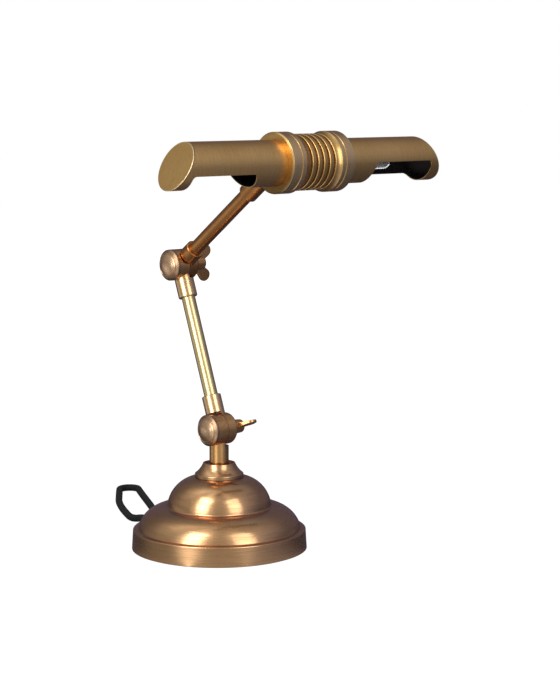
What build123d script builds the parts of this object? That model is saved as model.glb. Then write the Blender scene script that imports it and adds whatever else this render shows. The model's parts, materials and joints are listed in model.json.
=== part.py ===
from build123d import *
import os
from math import asin, cos, degrees, pi, radians, sin, sqrt, tan

os.makedirs("parts", exist_ok=True)

# All lengths in millimetres, all angles in degrees.
# The lamp stands on z = 0. Both arms swing in the plane x = 0, and the head lies along X.

# ---- fits and running gaps ----
slip = 0.05            # radial clearance of a pin, tube or spigot in its hole
seat_gap = 0.3         # gap under a curved seat
turn_gap = 0.1         # end play of a piece that turns between two faces

# ---- base ----
base_radius = 80.0
skirt_taper = 1.1            # how much smaller the skirt is at its top
skirt_top_radius = base_radius - skirt_taper
skirt_height = 18.4
rim_lift = 0.8         # the spun rim stops just above the table
shell_wall = 1.2
skirt_round = 1.0
# each dome is an arc swung about a circle; rings and arcs are shares of the base's radius
lower_dome_ring = 0.6175 * base_radius
lower_dome_arc = 0.3206 * base_radius
lower_dome_centre_z = 13.45
ledge_height = 19.3          # where the lower dome rises out of the skirt's ledge
step_round = 1.5             # blend at the foot of the upper dome
upper_dome_ring = 0.225 * base_radius
upper_dome_arc = 0.3704 * base_radius
upper_dome_sink = 2.15       # the upper arc's centre lies this far below the lower dome's top
upper_dome_centre_z = lower_dome_centre_z + lower_dome_arc - upper_dome_sink
felt_thickness = 1.6
weight_height = 11.4
weight_gap = 0.4
weight_hole = 16.0
weight_slot = 18.0
cup_overhang = 4.2           # how far the cup's foot reaches past the upper dome's ring
cup_bottom_radius = upper_dome_ring + cup_overhang
cup_lip = 2.8
cup_top_radius = 14.6
cup_height = 12.6
cup_sweep = 21.0             # radius of the cup's hollow side
cup_recess = 1.5
cup_rim = 1.8                # width of the rim round the recess

# ---- stem through the base ----
nipple_radius = 5.0
nipple_bore = 3.5
nipple_share = 0.52          # share of the post's foot that the stem is screwed into
nipple_below_nut = 3.0
stem_nut_across = 17.0
stem_nut_height = 5.0
stem_washer_radius = 16.0
stem_washer_height = 2.0

# ---- knuckles and arms ----
hinge_height = 110.0
knuckle_radius = 14.3
knuckle_half = 11.0          # thickness of each half, from the parting plane outwards
seam = 0.4                   # thickness of the washer between the halves
swing_clearance = 0.8        # between one half and the sleeve of the other
sleeve_radius = 8.8
sleeve_end = 31.5            # distance from the hinge to a sleeve's open end
elbow_sleeve_end = 27.0
tube_radius = 6.35
tube_wall = 1.0
socket_depth = 13.0
elbow_socket_depth = 8.5
socket_chamfer = 0.6
back_round = 2.4
chamber_inner = 5.6          # hub left standing in the wire chamber
chamber_outer = 11.4
chamber_depth = 5.0
wire_hole = 2.6
bolt_radius = 3.0
bolt_head_radius = 5.5
bolt_head_height = 2.8
bolt_reach = 27.0            # from the parting plane to the bolt's end
cap_rim = 2.4
cap_rise = 5.4
cap_rim_round = 0.8
cap_ring = 11.6              # radius at which the cap's main groove runs
cap_groove = 0.6             # and the size of its round bottom
cap_fine_ring = 9.9
cap_fine_groove = 0.35
washer_radius = 7.0
washer_height = 1.2
lower_arm_length = 156.0
lower_arm_lean = 20.2        # from the vertical, backwards
upper_arm_length = 171.8
upper_arm_rise = 35.9        # from the horizontal, forwards
head_drop = 4.6              # how far the head's axis lies below the upper arm's axis
head_shift = 24.0            # how far the barrel's middle lies beside the arms' plane
head_sleeve_reach = 55.0     # the head's sleeve starts this far before the head's centre

# ---- wing nuts ----
nut_base_radius = 7.0
nut_top_radius = 6.0
nut_height = 14.0
nut_top_round = 1.2
wing_root_thickness = 5.0
wing_tip_thickness = 2.4
wing_edge_round = 0.7
wing_root_radius = 4.0
wing_root_reach = 8.5
wing_tip_radius = 5.8
wing_tip_reach = 16.3
wing_tip_span = 11.5
lower_wing_angle = 158.0     # the wings' direction about the hinge, from +Y towards +Z
elbow_wing_angle = 94.0

# ---- head ----
barrel_radius = 26.6
barrel_half = 36.5
barrel_waist = 24.6
barrel_bore = 20.5
ring_thickness = 3.0
ring_bevel = 1.2
spigot_radius = 24.0
spigot_length = 2.0
band_half = 25.8             # from the barrel's middle to the scribed line
band_inner = 21.0            # where the smooth band falls in a hollow curve to the waist
waist_half = 15.0
scribe = 0.8
fin_grooves = 5
fin_pitch = 6.75
groove_width = 2.4
groove_depth = 2.0
fin_round = 0.8
shade_radius = 20.0
shade_wall = 1.0
flange_radius = 21.9
flange_thickness = 2.1
shade_length = 153.0         # from the barrel's middle to the shade's longest point
end_slope = 26.5             # the end plate leans this far from square
end_plate = 1.2
end_round = 0.5
slot_start = 70.5            # from the barrel's middle to the slot's inner corner
slot_end_gap = 14.3          # from the slot's square outer end to the shade's longest point
slot_stop = shade_length - slot_end_gap
slot_drop = 8.2              # the slot's straight edges lie this far below the axis
slot_inner_lean = 26.0       # lean of the slot's inner end, from the vertical
slot_corner = 3.5
left_shade_turn = 0.0
right_shade_turn = 20.5      # the right shade is turned this far towards the front

# ---- lamp holders and bulbs ----
bracket_thickness = 2.5
bracket_wire_hole = 3.0
bracket_wire_ring = 16.8
holder_radius = 13.0
holder_length = 40.0
collar_radius = 14.5
collar_height = 5.0
socket_depth_bulb = 23.0
bulb_cap_radius = 6.9
bulb_cap_length = 22.0
bulb_neck_radius = 6.0
bulb_shoulder = 6.0
bulb_radius = 8.6
bulb_reach = 103.0           # from the barrel's middle to the bulb's tip
bulb_wall = 0.8

# ---- cord, switch and plug ----
cord_radius = 3.5
gland_height = 9.0
gland_radius = 5.0
gland_flange = 6.6
gland_flange_thickness = 2.0
gland_collar = 6.4
gland_collar_thickness = 1.6
gland_tip_radius = 4.4
gland_out = 22.0             # how far the gland stands out behind the skirt
coil_inner_radius = 24.0
coil_turns_across = 3
coil_layers = 2
coil_middle = (102.2, 121.8)
floor_bearing = -40.0        # the switch and the plug lie along this direction on the floor
switch_middle = (64.0, 76.3)
switch_length = 62.0
switch_width = 24.0
switch_height = 17.0
switch_split = 6.8           # the cord enters at the line between the two halves
switch_wall = 2.0
switch_round = 5.0
rocker_half = 10.5
rocker_width = 10.0
rocker_edge = 9.2            # height of the rocker's raised ends above its pivot
rocker_dip = 7.4             # height of the rocker's middle above its pivot
rocker_keel = 2.6
rocker_pivot_height = 9.4
rocker_pin = 1.5
rocker_side_gap = 0.2
rib_thickness = 2.0
window_half = 12.2
plug_middle = (84.2, 100.3)
plug_length = 36.0
plug_width = 26.0
plug_height = 14.0
plug_round = 4.0
plug_pin_radius = 2.0
plug_pin_length = 19.0
plug_pin_spacing = 18.6
plug_pin_seat = 6.0
plug_pin_round = 1.2
approach = 12.0              # straight run of the cord before the switch
leave = 12.0                 # and after the switch or the gland
plug_approach = 9.0

# ---- frames ----
lower_pivot = Vector(0, 0, hinge_height)
post = Plane(origin=lower_pivot, x_dir=(1, 0, 0), z_dir=(0, 0, -1))
lean = radians(lower_arm_lean)
lower_arm = Plane(origin=lower_pivot, x_dir=(1, 0, 0), z_dir=(0, sin(lean), cos(lean)))
elbow_pivot = lower_arm.from_local_coords(Vector(0, 0, lower_arm_length))
lower_arm_back = Plane(origin=elbow_pivot, x_dir=(1, 0, 0), z_dir=(0, -sin(lean), -cos(lean)))
rise = radians(upper_arm_rise)
upper_arm = Plane(origin=elbow_pivot, x_dir=(1, 0, 0), z_dir=(0, -cos(rise), sin(rise)))
head_centre = upper_arm.from_local_coords(Vector(head_shift, -head_drop, upper_arm_length))
head_axis = Axis(head_centre, (1, 0, 0))
head_section = Plane(origin=head_centre, x_dir=(1, 0, 0), z_dir=(0, -1, 0))
sleeve_start = knuckle_radius + swing_clearance
shell_top = upper_dome_centre_z + upper_dome_arc
cup_top = shell_top + cup_height
post_foot = cup_top - cup_recess
nipple_into_post = nipple_share * (hinge_height - post_foot - sleeve_start)
barrel_end = barrel_half - ring_thickness
counterbore_floor = barrel_end - flange_thickness - turn_gap
head_sleeve = upper_arm_length - head_sleeve_reach
coil_outer_radius = coil_inner_radius + coil_turns_across * 2 * cord_radius
coil_height = coil_layers * 2 * cord_radius
bearing = radians(floor_bearing)
along = Vector(cos(bearing), sin(bearing), 0)
switch_plane = Plane(origin=(*switch_middle, 0), x_dir=along, z_dir=(0, 0, 1))
plug_plane = Plane(origin=(*plug_middle, coil_height + plug_height / 2), x_dir=along, z_dir=(0, 0, 1))



def hinge_plane(pivot):
    # the parting plane of a knuckle, facing +X
    return Plane(origin=pivot, x_dir=(0, 1, 0), z_dir=(1, 0, 0))


def hinge_section(pivot):
    # the upright plane through a hinge's axis: local x runs along X, local y points up
    return Plane(origin=pivot, x_dir=(1, 0, 0), z_dir=(0, -1, 0))


# ---- base shell: a skirt and two domes spun from one sheet ----
with BuildPart() as base_shell:
    for inset, mode in ((0.0, Mode.ADD), (shell_wall, Mode.SUBTRACT)):
        low_arc = lower_dome_arc - inset
        low_angle = degrees(asin((ledge_height - inset - lower_dome_centre_z) / low_arc))
        step_z = lower_dome_centre_z + low_arc
        up_arc = upper_dome_arc - inset
        up_angle = degrees(asin((step_z - upper_dome_centre_z) / up_arc))
        with BuildSketch(Plane.XZ):
            with BuildLine():
                low = CenterArc((lower_dome_ring, lower_dome_centre_z), low_arc, low_angle, 90 - low_angle)
                up = CenterArc((upper_dome_ring, upper_dome_centre_z), up_arc, up_angle, 90 - up_angle)
                skirt_edge = (skirt_top_radius - inset, skirt_height - inset)
                Polyline((0, 0), (base_radius - inset, 0), skirt_edge, low @ 0)
                Line(low @ 1, up @ 0)
                Polyline(up @ 1, (0, shell_top - inset), (0, 0))
            make_face()
        revolve(axis=Axis.Z, mode=mode)
    circles = base_shell.edges().filter_by(GeomType.CIRCLE)
    fillet(circles.filter_by(lambda e: abs(e.radius - skirt_top_radius) < slip), radius=skirt_round)
    circles = base_shell.edges().filter_by(GeomType.CIRCLE)
    step_edges = circles.filter_by(lambda e: abs(e.center().Z - lower_dome_centre_z - lower_dome_arc) < slip)
    fillet(step_edges.sort_by(SortBy.RADIUS)[0], radius=step_round)
    with BuildSketch(Plane.XY):
        Circle(base_radius + shell_wall)
    extrude(amount=rim_lift, mode=Mode.SUBTRACT)
    with BuildSketch(Plane.XY):
        Circle(nipple_radius + slip)
    extrude(amount=shell_top, mode=Mode.SUBTRACT)
    with BuildSketch(Plane.XZ):
        with Locations((0, gland_height)):
            Circle(gland_radius + slip)
    extrude(amount=-base_radius, mode=Mode.SUBTRACT)
base_shell.part.label = "base_shell"
export_step(base_shell.part, "parts/base_shell.step")

# cast ballast plate, slotted for the cord
weight_radius = skirt_top_radius - shell_wall - weight_gap
with BuildPart() as base_weight:
    with BuildSketch(Plane.XY.offset(felt_thickness)):
        Circle(weight_radius)
        Circle(weight_hole, mode=Mode.SUBTRACT)
        with Locations((0, weight_radius / 2)):
            Rectangle(weight_slot, weight_radius, mode=Mode.SUBTRACT)
    extrude(amount=weight_height)
    chamfer(base_weight.edges().group_by(Axis.Z)[-1], length=socket_chamfer)
base_weight.part.label = "base_weight"
export_step(base_weight.part, "parts/base_weight.step")

with BuildPart() as base_felt:
    with BuildSketch(Plane.XY):
        Circle(weight_radius + weight_gap)
    extrude(amount=felt_thickness)
base_felt.part.label = "base_felt"
export_step(base_felt.part, "parts/base_felt.step")

# turned cup that carries the post
with BuildPart() as base_cup:
    with BuildSketch(Plane.XZ):
        with BuildLine():
            RadiusArc((cup_bottom_radius, shell_top + cup_lip), (cup_top_radius, cup_top), cup_sweep)
            Polyline(
                (cup_bottom_radius, shell_top + cup_lip),
                (cup_bottom_radius, shell_top),
                (nipple_radius + slip, shell_top),
                (nipple_radius + slip, post_foot),
                (cup_top_radius - cup_rim, post_foot),
                (cup_top_radius - cup_rim, cup_top),
                (cup_top_radius, cup_top),
            )
        make_face()
    revolve(axis=Axis.Z)
    lip_edges = base_cup.edges().filter_by(GeomType.CIRCLE).group_by(SortBy.RADIUS)[-1]
    fillet(lip_edges.sort_by(Axis.Z)[-1], radius=socket_chamfer)
base_cup.part.label = "base_cup"
export_step(base_cup.part, "parts/base_cup.step")

# threaded stem with its washer and nut under the shell
nut_top = shell_top - shell_wall - stem_washer_height
with BuildPart() as base_nipple:
    with BuildSketch(Plane.XY.offset(nut_top - stem_nut_height - nipple_below_nut)):
        Circle(nipple_radius)
        Circle(nipple_bore, mode=Mode.SUBTRACT)
    extrude(amount=post_foot + nipple_into_post - nut_top + stem_nut_height + nipple_below_nut)
base_nipple.part.label = "base_nipple"
export_step(base_nipple.part, "parts/base_nipple.step")

with BuildPart() as base_washer:
    with BuildSketch(Plane.XY.offset(nut_top)):
        Circle(stem_washer_radius)
        Circle(nipple_radius + slip, mode=Mode.SUBTRACT)
    extrude(amount=stem_washer_height)
base_washer.part.label = "base_washer"
export_step(base_washer.part, "parts/base_washer.step")

with BuildPart() as base_nut:
    with BuildSketch(Plane.XY.offset(nut_top - stem_nut_height)):
        RegularPolygon(radius=stem_nut_across / 2, side_count=6, major_radius=False)
        Circle(nipple_radius + slip, mode=Mode.SUBTRACT)
    extrude(amount=stem_nut_height)
base_nut.part.label = "base_nut"
export_step(base_nut.part, "parts/base_nut.step")

# strain relief in the back of the skirt
skirt_slope = (base_radius - skirt_top_radius) / skirt_height
skirt_back = base_radius - skirt_slope * gland_height
gland_inside = skirt_top_radius - shell_wall - seat_gap
gland_end = skirt_back + gland_out
with BuildPart() as cord_gland:
    with BuildSketch(Plane.XY.offset(gland_height)):
        with BuildLine():
            collar_start = base_radius + turn_gap
            collar_end = collar_start + gland_collar_thickness
            Polyline(
                (0, gland_inside - gland_flange_thickness),
                (gland_flange, gland_inside - gland_flange_thickness),
                (gland_flange, gland_inside),
                (gland_radius, gland_inside),
                (gland_radius, collar_start),
                (gland_collar, collar_start),
                (gland_collar, collar_end),
                (gland_radius, collar_end),
                (gland_tip_radius, gland_end),
                (0, gland_end),
                close=True,
            )
        make_face()
    revolve(axis=Axis((0, 0, gland_height), (0, 1, 0)))
cord_gland.part.label = "cord_gland"
export_step(cord_gland.part, "parts/cord_gland.step")

# ---- the four knuckle halves: a disc with a wire chamber and a sleeve for the tube ----
# name, pivot, side of the parting plane, arm's frame, sleeve's end, bore in the sleeve, its depth
knuckle_halves = (
    ("base_post", lower_pivot, -1, post, hinge_height - post_foot, nipple_radius, nipple_into_post),
    ("lower_arm_foot", lower_pivot, 1, lower_arm, sleeve_end, tube_radius, socket_depth),
    ("lower_arm_head", elbow_pivot, -1, lower_arm_back, sleeve_end, tube_radius, socket_depth),
    ("upper_arm_foot", elbow_pivot, 1, upper_arm, elbow_sleeve_end, tube_radius, elbow_socket_depth),
)
for name, pivot, side, arm, arm_end, bore, depth in knuckle_halves:
    hinge = hinge_plane(pivot)
    mating_face = hinge.offset(side * seam / 2)
    with BuildPart() as knuckle:
        with BuildSketch(mating_face):
            Circle(knuckle_radius)
        extrude(amount=side * (knuckle_half - seam / 2))
        if side > 0:
            outer_edge = knuckle.edges().filter_by(GeomType.CIRCLE).sort_by(Axis.X)[-1]
            fillet(outer_edge, radius=back_round)
        with BuildSketch(arm):
            Circle(sleeve_radius)
            with Locations((side * (seam / 2 - sleeve_radius), 0)):
                Rectangle(2 * sleeve_radius, 2 * sleeve_radius, mode=Mode.SUBTRACT)
        extrude(amount=sleeve_start)
        with BuildSketch(arm.offset(sleeve_start)):
            Circle(sleeve_radius)
        extrude(amount=arm_end - sleeve_start)
        end_face = knuckle.faces().filter_by(GeomType.PLANE).sort_by_distance(arm.offset(arm_end).origin)[0]
        chamfer(end_face.edges(), length=socket_chamfer)
        with BuildSketch(arm.offset(arm_end - depth)):
            Circle(bore + slip)
        extrude(amount=depth, mode=Mode.SUBTRACT)
        with BuildSketch(mating_face):
            Circle(chamber_outer)
            Circle(chamber_inner, mode=Mode.SUBTRACT)
        extrude(amount=side * chamber_depth, mode=Mode.SUBTRACT)
        chamber_middle = (chamber_inner + chamber_outer) / 2
        with BuildSketch(arm.offset(chamber_middle)):
            with Locations((side * (seam / 2 + chamber_depth / 2), 0)):
                Circle(wire_hole)
        extrude(amount=arm_end - depth - chamber_middle, mode=Mode.SUBTRACT)
        with BuildSketch(hinge):
            Circle(bolt_radius + slip)
        extrude(amount=side * knuckle_half, mode=Mode.SUBTRACT)
        if side < 0:
            with BuildSketch(hinge.offset(-knuckle_half)):
                Circle(bolt_head_radius + slip)
            extrude(amount=bolt_head_height + slip, mode=Mode.SUBTRACT)
    knuckle.part.label = name
    export_step(knuckle.part, f"parts/{name}.step")

# ---- what holds each knuckle together ----
nut_start = knuckle_half + washer_height
cap_face = -(knuckle_half + cap_rim)
dome_radius = (knuckle_radius**2 + cap_rise**2) / (2 * cap_rise)
for prefix, pivot, wing_angle in (
    ("lower_hinge", lower_pivot, lower_wing_angle),
    ("elbow", elbow_pivot, elbow_wing_angle),
):
    hinge = hinge_plane(pivot)
    with BuildPart() as bolt:
        with BuildSketch(hinge.offset(-knuckle_half + slip)):
            Circle(bolt_head_radius)
        extrude(amount=bolt_head_height - slip)
        with BuildSketch(hinge.offset(-knuckle_half + slip)):
            Circle(bolt_radius)
        extrude(amount=knuckle_half - slip + bolt_reach)
        chamfer(bolt.edges().sort_by(Axis.X)[-1], length=socket_chamfer)
    bolt.part.label = f"{prefix}_bolt"
    export_step(bolt.part, f"parts/{prefix}_bolt.step")

    # domed cap over the bolt's head
    with BuildPart() as cap:
        with BuildSketch(hinge_section(pivot)):
            with BuildLine():
                Polyline((cap_face, knuckle_radius), (-knuckle_half, knuckle_radius), (-knuckle_half, 0))
                Line((-knuckle_half, 0), (cap_face - cap_rise, 0))
                RadiusArc((cap_face - cap_rise, 0), (cap_face, knuckle_radius), dome_radius)
            make_face()
            for ring, groove in ((cap_ring, cap_groove), (cap_fine_ring, cap_fine_groove)):
                with Locations((cap_face - cap_rise + dome_radius - sqrt(dome_radius**2 - ring**2), ring)):
                    Circle(groove, mode=Mode.SUBTRACT)
        revolve(axis=Axis(pivot, (1, 0, 0)))
        circles = cap.edges().filter_by(GeomType.CIRCLE)
        rim_edges = circles.filter_by(lambda e: abs(e.radius - knuckle_radius) < slip)
        fillet(rim_edges.sort_by(Axis.X)[0], radius=cap_rim_round)
    cap.part.label = f"{prefix}_cap"
    export_step(cap.part, f"parts/{prefix}_cap.step")

    with BuildPart() as friction_washer:
        with BuildSketch(hinge.offset(-seam / 2)):
            Circle(chamber_inner)
            Circle(bolt_radius + slip, mode=Mode.SUBTRACT)
        extrude(amount=seam)
    friction_washer.part.label = f"{prefix}_friction_washer"
    export_step(friction_washer.part, f"parts/{prefix}_friction_washer.step")

    with BuildPart() as washer:
        with BuildSketch(hinge.offset(knuckle_half)):
            Circle(washer_radius)
            Circle(bolt_radius + slip, mode=Mode.SUBTRACT)
        extrude(amount=washer_height)
    washer.part.label = f"{prefix}_washer"
    export_step(washer.part, f"parts/{prefix}_washer.step")

    wing_way = Vector(0, cos(radians(wing_angle)), sin(radians(wing_angle)))
    wing_plane = Plane(origin=pivot, x_dir=(1, 0, 0), z_dir=Vector(1, 0, 0).cross(wing_way))
    with BuildPart() as wing_nut:
        with BuildSketch(hinge.offset(nut_start)):
            Circle(nut_base_radius)
        with BuildSketch(hinge.offset(nut_start + nut_height)):
            Circle(nut_top_radius)
        loft()
        fillet(wing_nut.edges().filter_by(GeomType.CIRCLE).sort_by(Axis.X)[-1], radius=nut_top_round)
        for way in (1, -1):
            with BuildPart() as wing:
                with BuildSketch(wing_plane):
                    with Locations((nut_start + wing_tip_reach, way * wing_tip_span)):
                        Circle(wing_tip_radius)
                    with Locations((nut_start + wing_root_reach, way * wing_root_radius)):
                        Circle(wing_root_radius)
                    make_hull()
                extrude(amount=wing_root_thickness / 2, both=True)
                wing_side = Plane(origin=pivot, x_dir=way * wing_way, z_dir=(1, 0, 0))
                with BuildSketch(wing_side.offset(nut_start)):
                    with BuildLine():
                        Polyline(
                            (0, -wing_root_thickness / 2),
                            (wing_tip_span + wing_tip_radius, -wing_tip_thickness / 2),
                            (wing_tip_span + wing_tip_radius, wing_tip_thickness / 2),
                            (0, wing_root_thickness / 2),
                            close=True,
                        )
                    make_face()
                extrude(amount=wing_tip_reach + wing_tip_radius, mode=Mode.INTERSECT)
                fillet(wing.edges(), radius=wing_edge_round)
        with BuildSketch(hinge.offset(nut_start)):
            Circle(bolt_radius + slip)
        extrude(amount=nut_height + wing_tip_reach, mode=Mode.SUBTRACT)
    wing_nut.part.label = f"{prefix}_wing_nut"
    export_step(wing_nut.part, f"parts/{prefix}_wing_nut.step")

# ---- arm tubes ----
for name, arm, start, stop in (
    ("lower_arm_tube", lower_arm, sleeve_end - socket_depth, lower_arm_length - sleeve_end + socket_depth),
    ("upper_arm_tube", upper_arm, elbow_sleeve_end - elbow_socket_depth, head_sleeve + socket_depth),
):
    with BuildPart() as tube:
        with BuildSketch(arm.offset(start)):
            Circle(tube_radius)
            Circle(tube_radius - tube_wall, mode=Mode.SUBTRACT)
        extrude(amount=stop - start)
    tube.part.label = name
    export_step(tube.part, f"parts/{name}.step")

# sleeve soldered to the barrel, coped to its round
with BuildPart() as head_socket:
    with BuildSketch(upper_arm.offset(head_sleeve)):
        Circle(sleeve_radius)
    extrude(amount=upper_arm_length - head_sleeve)
    sleeve_mouth = upper_arm.offset(head_sleeve)
    end_face = head_socket.faces().filter_by(GeomType.PLANE).sort_by_distance(sleeve_mouth.origin)[0]
    chamfer(end_face.edges(), length=socket_chamfer)
    with BuildSketch(upper_arm.offset(head_sleeve)):
        Circle(tube_radius + slip)
    extrude(amount=socket_depth, mode=Mode.SUBTRACT)
    with BuildSketch(upper_arm.offset(head_sleeve)):
        Circle(wire_hole)
    extrude(amount=upper_arm_length - head_sleeve, mode=Mode.SUBTRACT)
    with BuildSketch(Plane.YZ.offset(head_centre.X - barrel_half)):
        with Locations((head_centre.Y, head_centre.Z)):
            Circle(barrel_radius)
    extrude(amount=2 * barrel_half, mode=Mode.SUBTRACT)
head_socket.part.label = "head_socket"
export_step(head_socket.part, "parts/head_socket.step")

# ---- head barrel: two smooth bands and a finned waist ----
with BuildPart() as head_barrel:
    with BuildSketch(head_section):
        with BuildLine():
            waist = Line((0, barrel_waist), (waist_half, barrel_waist))
            hollow = TangentArc(waist @ 1, (band_inner, barrel_radius), tangent=waist % 1)
            Polyline(
                hollow @ 1,
                (barrel_end, barrel_radius),
                (barrel_end, spigot_radius + slip),
                (counterbore_floor, spigot_radius + slip),
                (counterbore_floor, barrel_bore),
                (0, barrel_bore),
            )
            mirror(about=Plane.YZ)
        make_face()
        with GridLocations(fin_pitch, 0, fin_grooves, 1):
            with Locations((0, barrel_waist)):
                Rectangle(groove_width, 2 * groove_depth, mode=Mode.SUBTRACT)
        with Locations((band_half, barrel_radius), (-band_half, barrel_radius)):
            Rectangle(scribe, 2 * scribe, rotation=45, mode=Mode.SUBTRACT)
    revolve(axis=head_axis)
    waist_edges = head_barrel.edges().filter_by(GeomType.CIRCLE)
    waist_edges = waist_edges.filter_by(lambda e: abs(e.radius - barrel_waist) < slip)
    groove_reach = fin_pitch * (fin_grooves - 1) / 2 + groove_width / 2
    fin_edges = waist_edges.filter_by(lambda e: abs(e.center().X - head_centre.X) < groove_reach + slip)
    fillet(fin_edges, radius=fin_round)
    with BuildSketch(upper_arm.offset(upper_arm_length - barrel_radius - wire_hole)):
        Circle(wire_hole)
    extrude(amount=barrel_radius - barrel_bore + 2 * wire_hole, mode=Mode.SUBTRACT)
head_barrel.part.label = "head_barrel"
export_step(head_barrel.part, "parts/head_barrel.step")

# plate across the barrel's middle that carries both lamp holders
with BuildPart() as holder_bracket:
    with BuildSketch(Plane.YZ.offset(head_centre.X - bracket_thickness / 2)):
        with Locations((head_centre.Y, head_centre.Z)):
            Circle(barrel_bore - slip)
            with PolarLocations(bracket_wire_ring, 2):
                Circle(bracket_wire_hole, mode=Mode.SUBTRACT)
    extrude(amount=bracket_thickness)
holder_bracket.part.label = "holder_bracket"
export_step(holder_bracket.part, "parts/holder_bracket.step")

# ---- the two ends of the head, alike but for the shade's turn ----
holder_start = bracket_thickness / 2
holder_mouth = holder_start + holder_length
bulb_start = holder_mouth - socket_depth_bulb + turn_gap
bulb_glass_start = bulb_start + bulb_cap_length
shade_start = counterbore_floor + turn_gap / 2
slot_depth = shade_radius + shade_wall - slot_drop
for name, side, turn in (("left", -1, left_shade_turn), ("right", 1, right_shade_turn)):
    section = Plane(origin=head_centre, x_dir=(side, 0, 0), z_dir=(0, -side, 0))
    up_way = Vector(0, sin(radians(turn)), cos(radians(turn)))
    turned = Plane(origin=head_centre, x_dir=(side, 0, 0), z_dir=Vector(side, 0, 0).cross(up_way))

    # ring that keeps the shade's flange in the barrel
    with BuildPart() as end_ring:
        with BuildSketch(section):
            with BuildLine():
                Polyline(
                    (barrel_end, shade_radius + slip),
                    (barrel_half, shade_radius + slip),
                    (barrel_half, barrel_radius - ring_bevel),
                    (barrel_half - ring_bevel, barrel_radius),
                    (barrel_end, barrel_radius),
                    (barrel_end, spigot_radius),
                    (barrel_end - spigot_length, spigot_radius),
                    (barrel_end - spigot_length, flange_radius + slip),
                    (barrel_end, flange_radius + slip),
                    close=True,
                )
            make_face()
        revolve(axis=head_axis)
    end_ring.part.label = f"{name}_end_ring"
    export_step(end_ring.part, f"parts/{name}_end_ring.step")

    with BuildPart() as lamp_holder:
        with BuildSketch(section):
            with BuildLine():
                Polyline(
                    (holder_start, 0),
                    (holder_start, holder_radius),
                    (holder_mouth - collar_height, holder_radius),
                    (holder_mouth - collar_height, collar_radius),
                    (holder_mouth, collar_radius),
                    (holder_mouth, bulb_cap_radius + slip),
                    (holder_mouth - socket_depth_bulb, bulb_cap_radius + slip),
                    (holder_mouth - socket_depth_bulb, 0),
                    close=True,
                )
            make_face()
        revolve(axis=head_axis)
    lamp_holder.part.label = f"{name}_lamp_holder"
    export_step(lamp_holder.part, f"parts/{name}_lamp_holder.step")

    with BuildPart() as bulb_cap:
        with BuildSketch(section):
            with BuildLine():
                Polyline(
                    (bulb_start, 0),
                    (bulb_start, bulb_cap_radius / 2),
                    (bulb_start + bulb_cap_radius / 2, bulb_cap_radius),
                    (bulb_glass_start, bulb_cap_radius),
                    (bulb_glass_start, 0),
                    close=True,
                )
            make_face()
        revolve(axis=head_axis)
    bulb_cap.part.label = f"{name}_bulb_cap"
    export_step(bulb_cap.part, f"parts/{name}_bulb_cap.step")

    # blown tubular bulb, open at the neck where its cap closes it
    with BuildPart() as bulb_glass:
        for inset, mode in ((0.0, Mode.ADD), (bulb_wall, Mode.SUBTRACT)):
            with BuildSketch(section):
                with BuildLine():
                    tip = CenterArc((bulb_reach - bulb_radius, 0), bulb_radius - inset, 0, 90)
                    Polyline(
                        tip @ 1,
                        (bulb_glass_start + bulb_shoulder, bulb_radius - inset),
                        (bulb_glass_start, bulb_neck_radius - inset),
                        (bulb_glass_start, 0),
                        tip @ 0,
                    )
                make_face()
            revolve(axis=head_axis, mode=mode)
    bulb_glass.part.label = f"{name}_bulb_glass"
    export_step(bulb_glass.part, f"parts/{name}_bulb_glass.step")

    end_way = turned.x_dir * cos(radians(end_slope)) + turned.y_dir * sin(radians(end_slope))
    end_plane = Plane(origin=turned.from_local_coords(Vector(shade_length, -shade_radius, 0)), z_dir=end_way)
    inner_end = end_plane.offset(-end_plate)

    # tubular shade: flanged, slotted underneath, cut off at a slant
    with BuildPart() as shade:
        with BuildSketch(section):
            with BuildLine():
                Polyline(
                    (shade_start, shade_radius - shade_wall),
                    (shade_start, flange_radius),
                    (shade_start + flange_thickness, flange_radius),
                    (shade_start + flange_thickness, shade_radius),
                    (shade_length, shade_radius),
                    (shade_length, shade_radius - shade_wall),
                    close=True,
                )
            make_face()
        revolve(axis=head_axis)
        split(bisect_by=inner_end, keep=Keep.BOTTOM)
        with BuildSketch(turned):
            with BuildLine():
                Polyline(
                    (slot_start - slot_depth * tan(radians(slot_inner_lean)), -slot_drop - slot_depth),
                    (slot_start, -slot_drop),
                    (slot_stop, -slot_drop),
                    (slot_stop, -slot_drop - slot_depth),
                    close=True,
                )
            face = make_face()
            fillet(face.vertices().group_by(Axis.Y)[-1], radius=slot_corner)
        extrude(amount=shade_radius, both=True, mode=Mode.SUBTRACT)
    shade.part.label = f"{name}_shade"
    export_step(shade.part, f"parts/{name}_shade.step")

    with BuildPart() as end_cap:
        with BuildSketch(Plane(origin=head_centre, z_dir=(side, 0, 0))):
            Circle(shade_radius)
        extrude(amount=shade_length)
        split(bisect_by=end_plane, keep=Keep.BOTTOM)
        split(bisect_by=inner_end, keep=Keep.TOP)
        fillet(end_cap.faces().sort_by(Axis(head_centre, end_way))[-1].edges(), radius=end_round)
    end_cap.part.label = f"{name}_end_cap"
    export_step(end_cap.part, f"parts/{name}_end_cap.step")

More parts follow.
